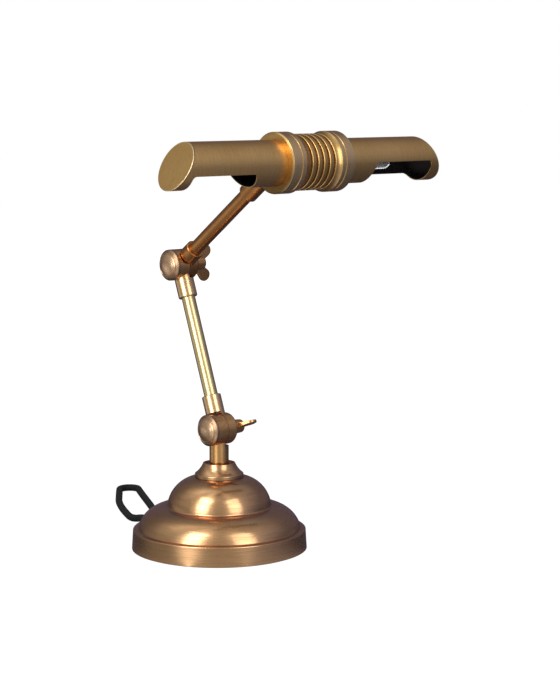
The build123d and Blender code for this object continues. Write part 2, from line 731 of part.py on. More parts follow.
# ---- cord ----
cord_in = switch_plane.from_local_coords(Vector(-switch_length / 2, 0, switch_split))
cord_out = switch_plane.from_local_coords(Vector(switch_length / 2, 0, switch_split))
plug_back = plug_plane.from_local_coords(Vector(-plug_length / 2, 0, 0))
power_route = [
    Vector(0, gland_end, gland_height),
    Vector(0, gland_end + leave, gland_height),
    Vector(3, gland_end + 26, 5.5),
    Vector(10, gland_end + 41, cord_radius),
    Vector(22, gland_end + 58, cord_radius),
    Vector(37, 181, cord_radius),
    Vector(50, 209, cord_radius),
    Vector(63, 232, cord_radius),
    Vector(74, 247, cord_radius),
    Vector(84, 258, cord_radius),
    Vector(94, 259, cord_radius),
    Vector(100, 250, cord_radius),
    Vector(95, 239, cord_radius),
    Vector(86, 222, cord_radius),
    Vector(75, 200, cord_radius),
    Vector(61, 180, cord_radius),
    Vector(47, 158, cord_radius),
    Vector(34, 138, cord_radius),
    Vector(27, 127, cord_radius),
    Vector(26, 115, 4.5),
    cord_in - along * approach,
    cord_in,
]
switch_route = [
    cord_out,
    cord_out + along * leave,
    Vector(111.3, 45.1, 4.6),
    Vector(123.6, 49.5, cord_radius),
    Vector(132.7, 62.6, cord_radius),
    Vector(137.9, 78.7, cord_radius),
    Vector(141.0, 93.2, cord_radius),
    Vector(143.3, 106.9, cord_radius),
]
tail_route = [
    Vector(68.9, 143.2, 11),
    Vector(62.0, 135.0, 15.5),
    Vector(60.5, 126.2, 19),
    plug_back - along * plug_approach,
    plug_back,
]
cord_length = coil_layers * coil_turns_across * pi * (coil_inner_radius + coil_outer_radius)
for name, route in (("power_cord", power_route), ("switch_cord", switch_route), ("cord_tail", tail_route)):
    radii = []
    for before, corner, after in zip(route, route[1:], route[2:]):
        half_turn = radians((corner - before).get_angle(after - corner)) / 2
        shorter = min((corner - before).length, (after - corner).length)
        radii.append(0.45 * shorter / tan(half_turn))
    with BuildPart() as cord:
        with BuildLine():
            path = FilletPolyline(*route, radius=radii)
        with BuildSketch(Plane(origin=path @ 0, z_dir=path % 0)):
            Circle(cord_radius)
        sweep()
    cord_length += path.length
    tube_volume = pi * cord_radius**2 * path.length
    print(name, "radii", [round(radius, 1) for radius in radii])
    print(name, "length", round(path.length, 1), "volume ratio", round(cord.part.volume / tube_volume, 4))
    cord.part.label = name
    export_step(cord.part, f"parts/{name}.step")
print("whole cord", round(cord_length))

with BuildPart() as cord_coil:
    with BuildSketch(Plane.XY):
        with Locations(coil_middle):
            Circle(coil_outer_radius)
            Circle(coil_inner_radius, mode=Mode.SUBTRACT)
    extrude(amount=coil_height)
cord_coil.part.label = "cord_coil"
export_step(cord_coil.part, "parts/cord_coil.step")

# ---- inline rocker switch ----
pivot_plane = Plane(
    origin=switch_plane.from_local_coords(Vector(0, 0, rocker_pivot_height)),
    x_dir=along,
    z_dir=along.cross(Vector(0, 0, 1)),
)
for name, floor_z, height, cavity_z in (
    ("switch_base", 0.0, switch_split, switch_wall),
    ("switch_cover", switch_split, switch_height - switch_split, 0.0),
):
    with BuildPart() as shell:
        with BuildSketch(switch_plane.offset(floor_z)):
            RectangleRounded(switch_length, switch_width, switch_round)
        extrude(amount=height)
        if name == "switch_cover":
            chamfer(shell.faces().sort_by(Axis.Z)[-1].edges(), length=switch_wall / 2)
        with BuildSketch(switch_plane.offset(floor_z + cavity_z)):
            RectangleRounded(
                switch_length - 2 * switch_wall, switch_width - 2 * switch_wall, switch_round - switch_wall
            )
        extrude(amount=height - switch_wall, mode=Mode.SUBTRACT)
        if name == "switch_cover":
            rib_middle = rocker_width / 2 + rocker_side_gap + rib_thickness / 2
            with BuildSketch(switch_plane.offset(switch_split)):
                with Locations((0, rib_middle), (0, -rib_middle)):
                    Rectangle(2 * window_half, rib_thickness)
            extrude(amount=height - switch_wall)
            with BuildSketch(switch_plane.offset(switch_split)):
                Rectangle(2 * window_half, rocker_width + 2 * rocker_side_gap)
            extrude(amount=height, mode=Mode.SUBTRACT)
            with BuildSketch(pivot_plane):
                Circle(rocker_pin + slip)
            extrude(amount=rib_middle + rib_thickness / 2, both=True, mode=Mode.SUBTRACT)
    shell.part.label = name
    export_step(shell.part, f"parts/{name}.step")

with BuildPart() as switch_rocker:
    with BuildSketch(pivot_plane):
        with BuildLine():
            Polyline(
                (-rocker_half, -rocker_keel),
                (rocker_half, -rocker_keel),
                (rocker_half, rocker_edge),
                (0, rocker_dip),
                (-rocker_half, rocker_edge),
                close=True,
            )
        make_face()
    extrude(amount=rocker_width / 2, both=True)
    with BuildSketch(pivot_plane):
        Circle(rocker_pin)
    extrude(amount=rocker_width / 2 + rocker_side_gap + rib_thickness, both=True)
switch_rocker.part.label = "switch_rocker"
export_step(switch_rocker.part, "parts/switch_rocker.step")

# ---- two-pin plug ----
with BuildPart() as plug_body:
    with BuildSketch(plug_plane.offset(-plug_height / 2)):
        RectangleRounded(plug_length, plug_width, plug_round)
    extrude(amount=plug_height)
    fillet(plug_body.faces().sort_by(Axis.Z)[-1].edges(), radius=plug_round / 2)
    pin_face = Plane(
        origin=plug_plane.from_local_coords(Vector(plug_length / 2, 0, 0)), x_dir=(0, 0, 1), z_dir=along
    )
    with BuildSketch(pin_face.offset(-plug_pin_seat)):
        with Locations((0, plug_pin_spacing / 2), (0, -plug_pin_spacing / 2)):
            Circle(plug_pin_radius + slip)
    extrude(amount=plug_pin_seat, mode=Mode.SUBTRACT)
plug_body.part.label = "plug_body"
export_step(plug_body.part, "parts/plug_body.step")

for name, pin_side in (("plug_pin_left", 1), ("plug_pin_right", -1)):
    with BuildPart() as plug_pin:
        with BuildSketch(pin_face.offset(-plug_pin_seat)):
            with Locations((0, pin_side * plug_pin_spacing / 2)):
                Circle(plug_pin_radius)
        extrude(amount=plug_pin_seat + plug_pin_length)
        pin_tip = plug_pin.faces().sort_by(Axis(pin_face.origin, pin_face.z_dir))[-1]
        fillet(pin_tip.edges(), radius=plug_pin_round)
    plug_pin.part.label = name
    export_step(plug_pin.part, f"parts/{name}.step")
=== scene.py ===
import json
import math
import bmesh
import bpy
import numpy as np
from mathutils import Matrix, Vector


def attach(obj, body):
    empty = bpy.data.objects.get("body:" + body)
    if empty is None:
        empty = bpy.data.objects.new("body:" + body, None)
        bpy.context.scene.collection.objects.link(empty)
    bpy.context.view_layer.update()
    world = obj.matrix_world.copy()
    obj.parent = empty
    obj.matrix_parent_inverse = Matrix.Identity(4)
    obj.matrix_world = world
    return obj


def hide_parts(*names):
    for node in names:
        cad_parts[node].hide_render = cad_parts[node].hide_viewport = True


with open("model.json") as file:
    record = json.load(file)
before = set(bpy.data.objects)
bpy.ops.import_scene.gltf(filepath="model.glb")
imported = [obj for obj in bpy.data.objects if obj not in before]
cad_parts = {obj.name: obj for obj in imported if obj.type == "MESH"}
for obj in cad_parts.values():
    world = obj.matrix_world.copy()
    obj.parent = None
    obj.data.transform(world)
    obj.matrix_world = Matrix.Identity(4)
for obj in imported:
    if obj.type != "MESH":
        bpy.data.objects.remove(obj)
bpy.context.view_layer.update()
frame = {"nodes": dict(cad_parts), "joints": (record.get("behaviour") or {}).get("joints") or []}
nodes = frame["nodes"]
joints = {joint["name"]: joint for joint in frame["joints"]}
scene = bpy.context.scene
scene.view_settings.view_transform = "Standard"
print("frame loaded:", len(nodes), "nodes")

# where the hinges and the head's axis are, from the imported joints
lowerPivot = np.array(joints["lower_hinge"]["pos_m"])
elbowPivot = np.array(joints["elbow_hinge"]["pos_m"])
headCentre = np.array(joints["left_shade_turn"]["pos_m"])


def levelWay(azimuth):
    # x and y of the level way to an azimuth, in degrees from the front and towards +X
    angle = math.radians(azimuth)
    return math.sin(angle), -math.cos(angle)


# camera: metres, degrees, azimuth from the front, and the lens in pixels of a picture of that height
cameraView = {
    "height": 0.418, "distance": 1.7487, "azimuth": -40.0, "panRight": 1.816, "pitchDown": 7.678,
    "lensPixels": 1952, "picturePixels": 700, "sensor": 36.0,
}
cameraData = bpy.data.cameras.new("lampCamera")
cameraData.sensor_width = cameraView["sensor"]
cameraData.lens = cameraView["lensPixels"] / cameraView["picturePixels"] * cameraView["sensor"]
cameraObject = bpy.data.objects.new("lampCamera", cameraData)
scene.collection.objects.link(cameraObject)
wayX, wayY = levelWay(cameraView["azimuth"])
cameraObject.location = (wayX * cameraView["distance"], wayY * cameraView["distance"], cameraView["height"])
cameraObject.rotation_euler = (
    math.radians(90 - cameraView["pitchDown"]),
    0,
    math.radians(cameraView["azimuth"] - cameraView["panRight"]),
)
scene.camera = cameraObject
print("camera set")


def newPiece(name, points, faces, uvs, body):
    # a smooth mesh object from arrays: points, quads of point numbers, and a uv pair for each point
    mesh = bpy.data.meshes.new(name)
    mesh.from_pydata(points.reshape(-1, 3).tolist(), [], faces.tolist())
    layer = mesh.uv_layers.new(name="UVMap")
    loops = np.zeros(len(mesh.loops), np.int32)
    mesh.loops.foreach_get("vertex_index", loops)
    layer.uv.foreach_set("vector", uvs[loops].astype(np.float32).ravel())
    mesh.polygons.foreach_set("use_smooth", np.ones(len(mesh.polygons), bool))
    mesh.update()
    piece = bpy.data.objects.new(name, mesh)
    scene.collection.objects.link(piece)
    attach(piece, body)
    return piece


def tubeFaces(rows, columns):
    # quads between the rows of points, joined round the columns
    row, column = np.meshgrid(np.arange(rows - 1), np.arange(columns), indexing="ij")
    here = row * columns
    ahead = here + columns
    after = (column + 1) % columns
    return np.stack((here + column, here + after, ahead + after, ahead + column), axis=-1).reshape(-1, 4)


def closeEnds(piece):
    # fills the open rings at both ends and points every face outwards
    shape = bmesh.new()
    shape.from_mesh(piece.data)
    edges = [edge for edge in shape.edges if edge.is_boundary]
    bmesh.ops.holes_fill(shape, edges=edges, sides=0)
    bmesh.ops.recalc_face_normals(shape, faces=shape.faces)
    shape.to_mesh(piece.data)
    shape.free()


# cord: 7 mm braided flex, limp, 1.84 m in all; metres
cordFacts = {
    "radius": 0.0035, "firstLength": 0.375, "secondLength": 1.469, "pointsAround": 20, "stepsPerPoint": 8,
    "glandEnd": 0.10146, "glandHeight": 0.009, "leave": 0.012, "approach": 0.012, "plugApproach": 0.009,
    "switchLength": 0.062, "switchSplit": 0.0068, "plugMiddle": (0.0842, 0.1003, 0.021), "plugLength": 0.036,
    "floorBearing": -40.0,  # degrees: the way that the switch and the plug lie on the floor
}
cordRadius = cordFacts["radius"]
bearing = math.radians(cordFacts["floorBearing"])
along = np.array((math.cos(bearing), math.sin(bearing), 0.0))
glandExit = np.array((0.0, cordFacts["glandEnd"], cordFacts["glandHeight"]))
switchMiddle = np.array((*joints["rocker_tilt"]["pos_m"][:2], cordFacts["switchSplit"]))
switchIn = switchMiddle - along * cordFacts["switchLength"] / 2
switchOut = switchMiddle + along * cordFacts["switchLength"] / 2
plugBack = np.array(cordFacts["plugMiddle"]) - along * cordFacts["plugLength"] / 2


def routeSpline(points):
    # the smooth line of a NURBS curve with these control points, read back as points
    curve = bpy.data.curves.new("route", "CURVE")
    curve.dimensions = "3D"
    curve.resolution_u = cordFacts["stepsPerPoint"]
    spline = curve.splines.new("NURBS")
    spline.points.add(len(points) - 1)
    spline.points.foreach_set("co", np.c_[points, np.ones(len(points))].ravel())
    spline.order_u = 3
    spline.use_endpoint_u = True
    holder = bpy.data.objects.new("route", curve)
    scene.collection.objects.link(holder)
    depsgraph = bpy.context.evaluated_depsgraph_get()
    line = bpy.data.meshes.new_from_object(holder.evaluated_get(depsgraph))
    found = np.zeros(len(line.vertices) * 3)
    line.vertices.foreach_get("co", found)
    bpy.data.objects.remove(holder)
    bpy.data.curves.remove(curve)
    bpy.data.meshes.remove(line)
    return found.reshape(-1, 3)


def sweptCord(name, line):
    # a round section carried along a line: centre + radius (cos a side + sin a lift),
    # where side is the line's way crossed with straight up, and lift is side crossed with the way
    around = cordFacts["pointsAround"]
    way = np.gradient(line, axis=0)
    way /= np.linalg.norm(way, axis=1, keepdims=True)
    side = np.cross(way, (0.0, 0.0, 1.0))
    side /= np.linalg.norm(side, axis=1, keepdims=True)
    lift = np.cross(side, way)
    angle = np.linspace(0, 2 * math.pi, around, endpoint=False)
    ring = np.cos(angle)[None, :, None] * side[:, None, :] + np.sin(angle)[None, :, None] * lift[:, None, :]
    points = line[:, None, :] + cordRadius * ring
    run = np.r_[0, np.cumsum(np.linalg.norm(np.diff(line, axis=0), axis=1))]
    uvs = np.stack(np.broadcast_arrays(angle[None, :] / (2 * math.pi), run[:, None]), axis=-1).reshape(-1, 2)
    piece = newPiece(name, points, tubeFaces(len(line), around), uvs, "base")
    closeEnds(piece)
    print(name, "length", round(float(run[-1]), 4))
    return piece


# the first cord leaves the gland, runs back over the floor to its fold and returns to the switch
firstRoute = np.array([
    glandExit,
    glandExit + (0.0, cordFacts["leave"], 0.0),
    glandExit + (0.0015, 0.026, -0.0035),
    glandExit + (0.0065, 0.041, -0.0055),
    (0.0155, 0.1610, cordRadius),
    (0.0275, 0.1840, cordRadius),
    (0.0415, 0.2070, cordRadius),
    (0.0570, 0.2270, cordRadius),
    (0.0675, 0.2405, cordRadius),
    (0.0752, 0.2505, cordRadius),
    (0.0810, 0.2575, cordRadius),
    (0.0886, 0.2586, cordRadius),
    (0.0950, 0.2544, cordRadius),
    (0.0966, 0.2468, cordRadius),
    (0.0927, 0.2400, cordRadius),
    (0.0870, 0.2300, cordRadius),
    (0.0780, 0.2140, cordRadius),
    (0.0680, 0.1960, cordRadius),
    (0.0570, 0.1760, cordRadius),
    (0.0455, 0.1560, cordRadius),
    (0.0340, 0.1380, cordRadius),
    (0.0275, 0.1260, cordRadius),
    (0.0265, 0.1150, 0.0045),
    switchIn - along * cordFacts["approach"],
    switchIn,
])
firstLine = routeSpline(firstRoute)
firstCord = sweptCord("mainsCord", firstLine)

# the second cord runs from the switch into the coil, six turns in two layers, and up to the plug
coilRows = {
    "middle": (0.1022, 0.1218), "radii": (0.0405, 0.0335, 0.0265), "pointsPerTurn": 14,
    "shiftPart": 0.25,  # the part of a turn in which the cord moves over to the next row
    "climbPoints": 1.5,  # points that the climb to the upper layer takes
    "lastPoints": 5,  # points that the upper layer runs on past its last whole turn
    "joinPlace": (0.1433, 0.1069), "joinLead": 0.45,  # where the cord reaches the coil, and radians past it
}
coilMiddle = np.array(coilRows["middle"])


def rowRadius(step):
    # step counts turns from the outside; a turn keeps its row's radius until it shifts in its last part
    radii = np.array(coilRows["radii"])
    row = np.clip(np.floor(step), 0, len(radii) - 1).astype(int)
    shift = coilRows["shiftPart"]
    part = np.clip((step - row - (1 - shift)) / shift, 0, 1)
    inner = np.minimum(row + 1, len(radii) - 1)
    return radii[row] * (1 - part) + radii[inner] * part


def coilPoints(startAngle):
    # control points of the turns, all the same way round: middle + radius (cos angle, sin angle),
    # inwards on the floor and then outwards on top of that layer
    count = coilRows["pointsPerTurn"]
    whole = len(coilRows["radii"]) * count
    low = np.arange(whole) / count
    high = np.arange(whole + coilRows["lastPoints"]) / count
    radius = np.concatenate((rowRadius(low), rowRadius(np.maximum(low[-1] - high, 0))))
    turned = np.concatenate((low, low[-1] + coilRows["climbPoints"] / count + high))
    angle = startAngle + 2 * math.pi * turned
    height = np.repeat((cordRadius, 3 * cordRadius), (len(low), len(high)))
    spiral = np.stack((radius * np.cos(angle), radius * np.sin(angle), height), axis=1)
    spiral[:, :2] += coilMiddle
    return spiral


joinWay = np.array(coilRows["joinPlace"]) - coilMiddle
secondRoute = np.concatenate((
    [
        switchOut,
        switchOut + along * cordFacts["leave"],
        (0.1113, 0.0451, 0.0046),
        (0.1236, 0.0495, cordRadius),
        (0.1327, 0.0626, cordRadius),
        (0.1379, 0.0787, cordRadius),
        (0.1410, 0.0932, cordRadius),
    ],
    coilPoints(math.atan2(joinWay[1], joinWay[0]) + coilRows["joinLead"]),
    [
        (0.0689, 0.1432, 0.0125),
        (0.0620, 0.1350, 0.0165),
        (0.0605, 0.1262, 0.0195),
        plugBack - along * cordFacts["plugApproach"],
        plugBack,
    ],
))
secondLine = routeSpline(secondRoute)
secondCord = sweptCord("plugCord", secondLine)
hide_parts("power_cord")
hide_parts("switch_cord", "cord_coil", "cord_tail")
print("cords laid")


def setInputs(tree, node, values):
    # each value is a number, a colour or the socket that feeds the input
    for key, value in values.items():
        if isinstance(value, bpy.types.NodeSocket):
            tree.links.new(value, node.inputs[key])
        else:
            node.inputs[key].default_value = value


def addNode(tree, kind, inputs, **settings):
    made = tree.nodes.new(kind)
    for key, value in settings.items():
        setattr(made, key, value)
    setInputs(tree, made, inputs)
    return made


def calc(tree, operation, *values, clamp=False):
    # one Math node; clamp holds its result within 0 and 1
    inputs = dict(enumerate(values))
    return addNode(tree, "ShaderNodeMath", inputs, operation=operation, use_clamp=clamp).outputs[0]


def vectorCalc(tree, operation, *values, output="Vector"):
    inputs = dict(enumerate(values))
    return addNode(tree, "ShaderNodeVectorMath", inputs, operation=operation).outputs[output]


def mixColours(tree, share, first, second):
    # first where the share is 0, second where it is 1
    return addNode(tree, "ShaderNodeMix", {0: share, 6: first, 7: second}, data_type="RGBA").outputs[2]


def noiseValue(tree, place, scale, detail=2.0, roughness=0.5):
    inputs = {"Vector": place, "Scale": scale, "Detail": detail, "Roughness": roughness}
    return addNode(tree, "ShaderNodeTexNoise", inputs).outputs[0]


def mapValue(tree, value, start, end, low, high, curve="LINEAR"):
    # start..end becomes low..high, held at both ends
    inputs = {0: value, 1: start, 2: end, 3: low, 4: high}
    return addNode(tree, "ShaderNodeMapRange", inputs, interpolation_type=curve).outputs[0]


def separate(tree, vector):
    return addNode(tree, "ShaderNodeSeparateXYZ", {"Vector": vector}).outputs


def bumpNormal(tree, height, strength, distance):
    inputs = {"Height": height, "Strength": strength, "Distance": distance}
    return addNode(tree, "ShaderNodeBump", inputs).outputs[0]


def axisRadius(tree, parts):
    # how far a place lies from the pattern's Z axis
    squares = [calc(tree, "MULTIPLY", part, part) for part in (parts[0], parts[1])]
    return calc(tree, "SQRT", calc(tree, "ADD", *squares))


def newGroup(name, inputs, outputs):
    # inputs and outputs: socket name -> Float, Color or Vector
    tree = bpy.data.node_groups.new(name, "ShaderNodeTree")
    for way, sockets in (("INPUT", inputs), ("OUTPUT", outputs)):
        for label, kind in sockets.items():
            tree.interface.new_socket(name=label, in_out=way, socket_type="NodeSocket" + kind)
    return tree, tree.nodes.new("NodeGroupInput").outputs, tree.nodes.new("NodeGroupOutput")


def newMaterial(name):
    # a material, its tree, its Principled shader and its coordinates
    material = bpy.data.materials.new(name)
    material.use_nodes = True
    tree = material.node_tree
    return material, tree, tree.nodes["Principled BSDF"], tree.nodes.new("ShaderNodeTexCoord").outputs


def dress(material, pieces):
    for piece in pieces:
        piece.data.materials.clear()
        piece.data.materials.append(material)


# the pattern of all the brass: noises as detail and roughness, spans as a noise's low and high end;
# slope makes rings on flat faces as on tubes, and ringSweep is how much a ring changes on its way round
metalPattern = {
    "slope": 0.8, "ringSweep": 1.6, "ringNoise": (3.0, 0.65), "ringSpan": (0.32, 0.68),
    "cloudNoise": (5.0, 0.6), "cloudSpan": (0.35, 0.68),
    "speckScale": 420.0, "speckNoise": (2.0, 0.5), "speckSpan": (0.62, 0.74),
    # the patina colour and roughness also serve the painted shade on the end rings' lower side
    "patina": (0.035, 0.018, 0.008, 1), "patinaAndShadeRoughness": 0.2, "wear": (0.93, 0.74, 0.46, 1),
    "middleTone": 0.3,  # the tone that has the finish's own roughness
}


def agedMetalGroup():
    # turned, aged metal: fine rings round the local Z axis, slow clouds of tone and small dark specks
    tree, given, result = newGroup("agedMetal", {
        "Vector": "Vector", "Bright": "Color", "Dark": "Color",
        "Cloud Scale": "Float", "Cloud Amount": "Float", "Ring Scale": "Float", "Ring Amount": "Float",
        "Speck Amount": "Float", "Patina": "Float", "Wear": "Float",
        "Roughness": "Float", "Roughness Spread": "Float",
    }, {"Colour": "Color", "Roughness": "Float", "Height": "Float"})
    parts = separate(tree, given["Vector"])
    angle = calc(tree, "ARCTAN2", parts[1], parts[0])
    profile = calc(tree, "MULTIPLY_ADD", axisRadius(tree, parts), metalPattern["slope"], parts[2])
    ringPlace = addNode(tree, "ShaderNodeCombineXYZ", {
        "X": calc(tree, "MULTIPLY", profile, given["Ring Scale"]),
        "Y": calc(tree, "MULTIPLY", calc(tree, "SINE", angle), metalPattern["ringSweep"]),
        "Z": calc(tree, "MULTIPLY", calc(tree, "COSINE", angle), metalPattern["ringSweep"]),
    }).outputs[0]
    ringNoise = noiseValue(tree, ringPlace, 1.0, *metalPattern["ringNoise"])
    rings = mapValue(tree, ringNoise, *metalPattern["ringSpan"], 0.0, 1.0)
    cloudNoise = noiseValue(tree, given["Vector"], given["Cloud Scale"], *metalPattern["cloudNoise"])
    clouds = mapValue(tree, cloudNoise, *metalPattern["cloudSpan"], 0.0, 1.0)
    speckNoise = noiseValue(tree, given["Vector"], metalPattern["speckScale"], *metalPattern["speckNoise"])
    specks = mapValue(tree, speckNoise, *metalPattern["speckSpan"], 0.0, 1.0)
    cloudTone = calc(tree, "MULTIPLY", clouds, given["Cloud Amount"])
    ringTone = calc(tree, "MULTIPLY", calc(tree, "SUBTRACT", rings, 0.5), given["Ring Amount"])
    speckTone = calc(tree, "MULTIPLY", specks, given["Speck Amount"])
    tone = calc(tree, "ADD", calc(tree, "ADD", cloudTone, ringTone), speckTone, clamp=True)
    aged = mixColours(tree, tone, given["Bright"], given["Dark"])
    stainedAndShaded = mixColours(tree, given["Patina"], aged, metalPattern["patina"])
    offMiddle = calc(tree, "SUBTRACT", tone, metalPattern["middleTone"])
    cleanRough = calc(tree, "MULTIPLY_ADD", offMiddle, given["Roughness Spread"], given["Roughness"])
    patinaAndShadeRough = calc(tree, "MULTIPLY", given["Patina"], metalPattern["patinaAndShadeRoughness"])
    setInputs(tree, result, {
        "Colour": mixColours(tree, given["Wear"], stainedAndShaded, metalPattern["wear"]),
        "Roughness": calc(tree, "ADD", patinaAndShadeRough, cleanRough, clamp=True),
        "Height": rings,
    })
    return tree


agedMetal = agedMetalGroup()

# finishes: a label with a capital is a socket of the agedMetal group;
# the patina and the wear go by the radius from the piece's axis, the reach along it or the depth under it:
# where they start, where they are full and how strong they get; darkening by the depth under it is painted
# shade, not patina
baseFinish = {
    "Bright": (0.64, 0.375, 0.185, 1), "Dark": (0.42, 0.225, 0.10, 1),
    "Cloud Scale": 16.0, "Cloud Amount": 0.55, "Ring Scale": 800.0, "Ring Amount": 0.7, "Speck Amount": 0.25,
    "Roughness": 0.24, "Roughness Spread": 0.14, "bumpStrength": 0.5, "bumpDistance": 0.00008,
    "grazing": (0.62, 0.50, 0.54, 1), "sheen": 0.07, "sheenTint": (0.80, 0.74, 0.95, 1),
}
headFinish = {
    **baseFinish, "Bright": (0.82, 0.51, 0.185, 1), "Dark": (0.50, 0.28, 0.085, 1), "Ring Amount": 0.35,
    "Roughness": 0.33, "sheen": 0.03,
}
barrelFinish = {
    **headFinish, "Roughness": 0.28,
    "Patina": ("radius", 0.0243, 0.0228, 0.45), "Wear": ("radius", 0.0262, 0.0266, 0.35),
}
# the end rings darken on their lower side, by the depth under the axis: painted shade under the shade tubes,
# not patina
ringFinish = {
    **headFinish, "Roughness": 0.30,
    "Patina": ("under", -0.004, 0.012, 0.65), "Wear": ("radius", 0.0262, 0.0266, 0.35),
}
endFinish = {**headFinish, "Wear": ("radius", 0.0190, 0.0198, 0.7)}
jointFinish = {
    **baseFinish, "Bright": (0.78, 0.43, 0.16, 1), "Dark": (0.50, 0.24, 0.08, 1), "Roughness": 0.23,
}
lowerArmFinish = {**jointFinish, "Wear": ("reach", 0.066, 0.064, 0.45)}
# the hinge caps' brass is made paler and brighter than the rest: painted reflection of a bright room behind
# the lamp
capPaintedReflection = {
    **baseFinish, "Bright": (0.88, 0.59, 0.36, 1), "Dark": (0.58, 0.34, 0.19, 1), "Roughness": 0.22,
    "Patina": ("radius", 0.0090, 0.0128, 0.55),
}
paleFinish = {
    **baseFinish, "Bright": (0.76, 0.60, 0.31, 1), "Dark": (0.58, 0.42, 0.20, 1), "Ring Amount": 0.2,
    "Roughness": 0.30, "Roughness Spread": 0.05, "bumpStrength": 0.15,
}
brownFinish = {
    **baseFinish, "Bright": (0.56, 0.26, 0.085, 1), "Dark": (0.36, 0.155, 0.05, 1), "Ring Amount": 0.4,
    "Roughness": 0.27, "bumpStrength": 0.25, "sheen": 0.04,
}
# near-black, not metal: the inside of the shades' bores and the inner faces of the end caps
innerBlack = {"boreRadius": 0.0194, "faceLimit": 0.5, "colour": (0.010, 0.008, 0.007, 1), "roughness": 0.5}


def brassMaterial(name, finish, centre, turn, blackSide):
    # centre and turn put the piece's own axis on the pattern's Z; the last argument says where it is
    # near-black, not metal:
    # "bore" for the inside of a tube, 1 or -1 for the face that looks along or against X
    material, tree, shader, coords = newMaterial(name)
    placing = {"Vector": coords["Object"], "Location": tuple(centre), "Rotation": turn}
    local = addNode(tree, "ShaderNodeMapping", placing, vector_type="TEXTURE").outputs[0]
    parts = separate(tree, local)
    radius = axisRadius(tree, parts)
    measures = {"radius": radius, "reach": calc(tree, "ABSOLUTE", parts[2]), "under": parts[0]}
    sockets = {label: value for label, value in finish.items() if label[0].isupper()}
    for label in ("Patina", "Wear"):
        if label in finish:
            measure, start, full, amount = finish[label]
            sockets[label] = mapValue(tree, measures[measure], start, full, 0.0, amount)
    pattern = addNode(tree, "ShaderNodeGroup", {}, node_tree=agedMetal)
    setInputs(tree, pattern, {"Vector": local, **sockets})
    colour = pattern.outputs["Colour"]
    rough = pattern.outputs["Roughness"]
    metallic = 1.0
    if blackSide is not None:
        if blackSide == "bore":
            blackened = calc(tree, "LESS_THAN", radius, innerBlack["boreRadius"])
        else:
            facing = calc(tree, "MULTIPLY", separate(tree, coords["Normal"])[0], float(blackSide))
            blackened = calc(tree, "GREATER_THAN", facing, innerBlack["faceLimit"])
        colour = mixColours(tree, blackened, colour, innerBlack["colour"])
        duller = calc(tree, "SUBTRACT", innerBlack["roughness"], rough)
        rough = calc(tree, "MULTIPLY_ADD", blackened, duller, rough)
        metallic = calc(tree, "SUBTRACT", 1.0, blackened)
    setInputs(tree, shader, {
        "Base Color": colour, "Roughness": rough, "Metallic": metallic, "Specular Tint": finish["grazing"],
        "Sheen Weight": finish["sheen"], "Sheen Tint": finish["sheenTint"],
        "Normal": bumpNormal(tree, pattern.outputs["Height"], finish["bumpStrength"], finish["bumpDistance"]),
    })
    return material


# how the axes of the pieces lie: the lower arm leans back and the upper one rises, in degrees
armAngles = {"lowerLean": 20.2, "upperRise": 35.9}
origin = (0, 0, 0)
upright = (0, 0, 0)
sideways = (0, math.pi / 2, 0)
lowerArmTurn = (-math.radians(armAngles["lowerLean"]), 0, 0)
upperArmTurn = (math.radians(90 - armAngles["upperRise"]), 0, 0)
lowerArmMiddle = (lowerPivot + elbowPivot) / 2
# name: finish, centre and turn of the pattern, near-black side, pieces
brassPieces = {
    "baseBrass": (baseFinish, origin, upright, None, ("base_shell", "base_cup")),
    "postBrass": (jointFinish, origin, upright, None, ("base_post",)),
    "lowerCapBrass": (capPaintedReflection, lowerPivot, sideways, None, ("lower_hinge_cap", "lower_hinge_washer")),
    "lowerArmBrass": (
        lowerArmFinish, lowerArmMiddle, lowerArmTurn, None, ("lower_arm_foot", "lower_arm_head"),
    ),
    "lowerTubeBrass": (paleFinish, lowerPivot, lowerArmTurn, None, ("lower_arm_tube",)),
    "elbowCapBrass": (capPaintedReflection, elbowPivot, sideways, None, ("elbow_cap", "elbow_washer")),
    "upperArmBrass": (
        brownFinish, elbowPivot, upperArmTurn, None, ("upper_arm_foot", "upper_arm_tube", "head_socket"),
    ),
    "wingBrass": (jointFinish, lowerPivot, sideways, None, ("lower_hinge_wing_nut", "elbow_wing_nut")),
    "headBrass": (barrelFinish, headCentre, sideways, None, ("head_barrel",)),
    "ringBrass": (ringFinish, headCentre, sideways, None, ("left_end_ring", "right_end_ring")),
    "shadeBrass": (headFinish, headCentre, sideways, "bore", ("left_shade", "right_shade")),
    "leftCapBrass": (endFinish, headCentre, sideways, 1, ("left_end_cap",)),
    "rightCapBrass": (endFinish, headCentre, sideways, -1, ("right_end_cap",)),
}
for name, (finish, centre, turn, blackSide, members) in brassPieces.items():
    dress(brassMaterial(name, finish, centre, turn, blackSide), [nodes[member] for member in members])
print("brass dressed")

# moulded, cast and pressed stuff: its grain, and how much darker, rougher and higher it makes the surface
grainPattern = {
    "noise": (4.0, 0.5), "darken": 0.3, "roughen": 0.15, "bumpStrength": 0.4, "bumpDistance": 0.0002,
}


def fineGrainGroup():
    # one noise in tone, gloss and height
    tree, given, result = newGroup("fineGrain", {
        "Vector": "Vector", "Light": "Color", "Dark": "Color", "Scale": "Float", "Roughness": "Float",
    }, {"Colour": "Color", "Roughness": "Float", "Height": "Float"})
    grain = noiseValue(tree, given["Vector"], given["Scale"], *grainPattern["noise"])
    offMiddle = calc(tree, "SUBTRACT", grain, 0.5)
    setInputs(tree, result, {
        "Colour": mixColours(tree, grain, given["Dark"], given["Light"]),
        "Roughness": calc(tree, "MULTIPLY_ADD", offMiddle, grainPattern["roughen"], given["Roughness"]),
        "Height": grain,
    })
    return tree


fineGrain = fineGrainGroup()


